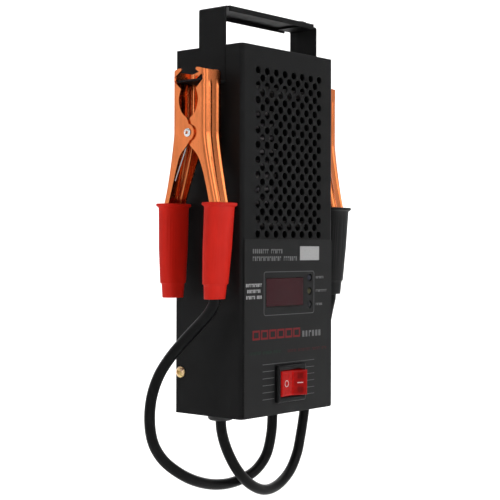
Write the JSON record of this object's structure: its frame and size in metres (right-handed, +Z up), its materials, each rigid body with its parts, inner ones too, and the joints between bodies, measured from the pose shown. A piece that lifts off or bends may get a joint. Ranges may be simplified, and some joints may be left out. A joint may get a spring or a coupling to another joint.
{
  "type": "battery load tester",
  "caption": "Hand-held battery load tester: a tall perforated steel box with a strap handle, display and rocker switch, and two corded spring clips parked on its sides.",
  "frame": {"origin": "The middle of the underside of the carrying bar's top plate, where a hand holds the tester.", "axes": "+Z up, +Y from the front panel to the back, +X to the right as seen from the front. The case is 100 mm wide along X, 60 mm deep along Y and 250 mm tall along Z."},
  "size_m": [0.163, 0.0681, 0.3415],
  "materials": {
    "case_paint": "satin black powder coat",
    "handle_paint": "satin black powder coat",
    "black_rivets": "painted over with the handle",
    "zinc_screws": "yellowish zinc plate",
    "label_film": "matt printed film",
    "display_filter": "smoked red, glossy",
    "display_block": "black with dark segments",
    "circuit_board": "green solder mask",
    "board_posts": "zinc plate",
    "lamp_lens": "clear and tinted lenses, unlit",
    "switch_plastic": "moulded black",
    "rocker_plastic": "translucent red",
    "spade_metal": "tinned brass",
    "resistance_wire": "dull oxidised wire",
    "ceramic_board": "off-white ceramic",
    "bushing_rubber": "matt",
    "cord_jacket": "satin vinyl jacket",
    "copper_plate": "bright copper plate",
    "rivet_zinc": "bright zinc",
    "spring_steel": "bright wire",
    "red_vinyl": "dipped red vinyl",
    "black_vinyl": "dipped black vinyl"
  },
  "bodies": {
    "case": {"front_cover": "case_paint", "back_pan": "case_paint", "left_handle_strap": "handle_paint", "right_handle_strap": "handle_paint", "left_handle_rivet_1": "black_rivets", "left_handle_rivet_2": "black_rivets", "right_handle_rivet_1": "black_rivets", "right_handle_rivet_2": "black_rivets", "bar_rivet_1": "black_rivets", "bar_rivet_2": "black_rivets", "left_case_screw": "zinc_screws", "right_case_screw": "zinc_screws", "front_label": "label_film", "display_window": "display_filter", "display_digits": "display_block", "display_board": "circuit_board", "board_post_1": "board_posts", "board_post_2": "board_posts", "board_post_3": "board_posts", "board_post_4": "board_posts", "high_lamp": "lamp_lens", "charged_lamp": "lamp_lens", "low_lamp": "lamp_lens", "switch_housing": "switch_plastic", "switch_spade_1": "spade_metal", "switch_spade_2": "spade_metal", "switch_spade_3": "spade_metal", "load_coil": "resistance_wire", "lower_coil_board": "ceramic_board", "upper_coil_board": "ceramic_board", "red_cord_bushing": "bushing_rubber", "black_cord_bushing": "bushing_rubber", "red_cord": "cord_jacket", "black_cord": "cord_jacket"},
    "rocker": {"rocker": "rocker_plastic"},
    "red_clip": {"red_clip_front_jaw": "copper_plate", "red_clip_front_grip": "red_vinyl", "red_clip_rivet": "rivet_zinc", "red_clip_spring": "spring_steel"},
    "red_clip_lever": {"red_clip_rear_jaw": "copper_plate", "red_clip_rear_grip": "red_vinyl"},
    "black_clip": {"black_clip_front_jaw": "copper_plate", "black_clip_front_grip": "black_vinyl", "black_clip_rivet": "rivet_zinc", "black_clip_spring": "spring_steel"},
    "black_clip_lever": {"black_clip_rear_jaw": "copper_plate", "black_clip_rear_grip": "black_vinyl"}
  },
  "joints": [
    {"name": "rocker_hinge", "type": "hinge", "parent": "case", "child": "rocker", "pos_m": [0, -0.0285, -0.2553], "axis": [0, 0, 1], "range_deg": [0, 20]},
    {"name": "red_clip_pull", "type": "slide", "parent": "case", "child": "red_clip", "axis": [-1, 0, 0], "range_m": [0, 0.03], "deforming": ["red_cord"]},
    {"name": "red_clip_squeeze", "type": "hinge", "parent": "red_clip", "child": "red_clip_lever", "pos_m": [-0.06375, 0, -0.0862], "axis": [-1, 0, 0], "range_deg": [0, 13], "stiffness_Nm_per_rad": 0.6, "springref_deg": -20.05, "deforming": ["red_clip_spring"]},
    {"name": "black_clip_pull", "type": "slide", "parent": "case", "child": "black_clip", "axis": [1, 0, 0], "range_m": [0, 0.03], "deforming": ["black_cord"]},
    {"name": "black_clip_squeeze", "type": "hinge", "parent": "black_clip", "child": "black_clip_lever", "pos_m": [0.06375, 0, -0.0862], "axis": [-1, 0, 0], "range_deg": [0, 13], "stiffness_Nm_per_rad": 0.6, "springref_deg": -20.05, "deforming": ["black_clip_spring"]}
  ]
}
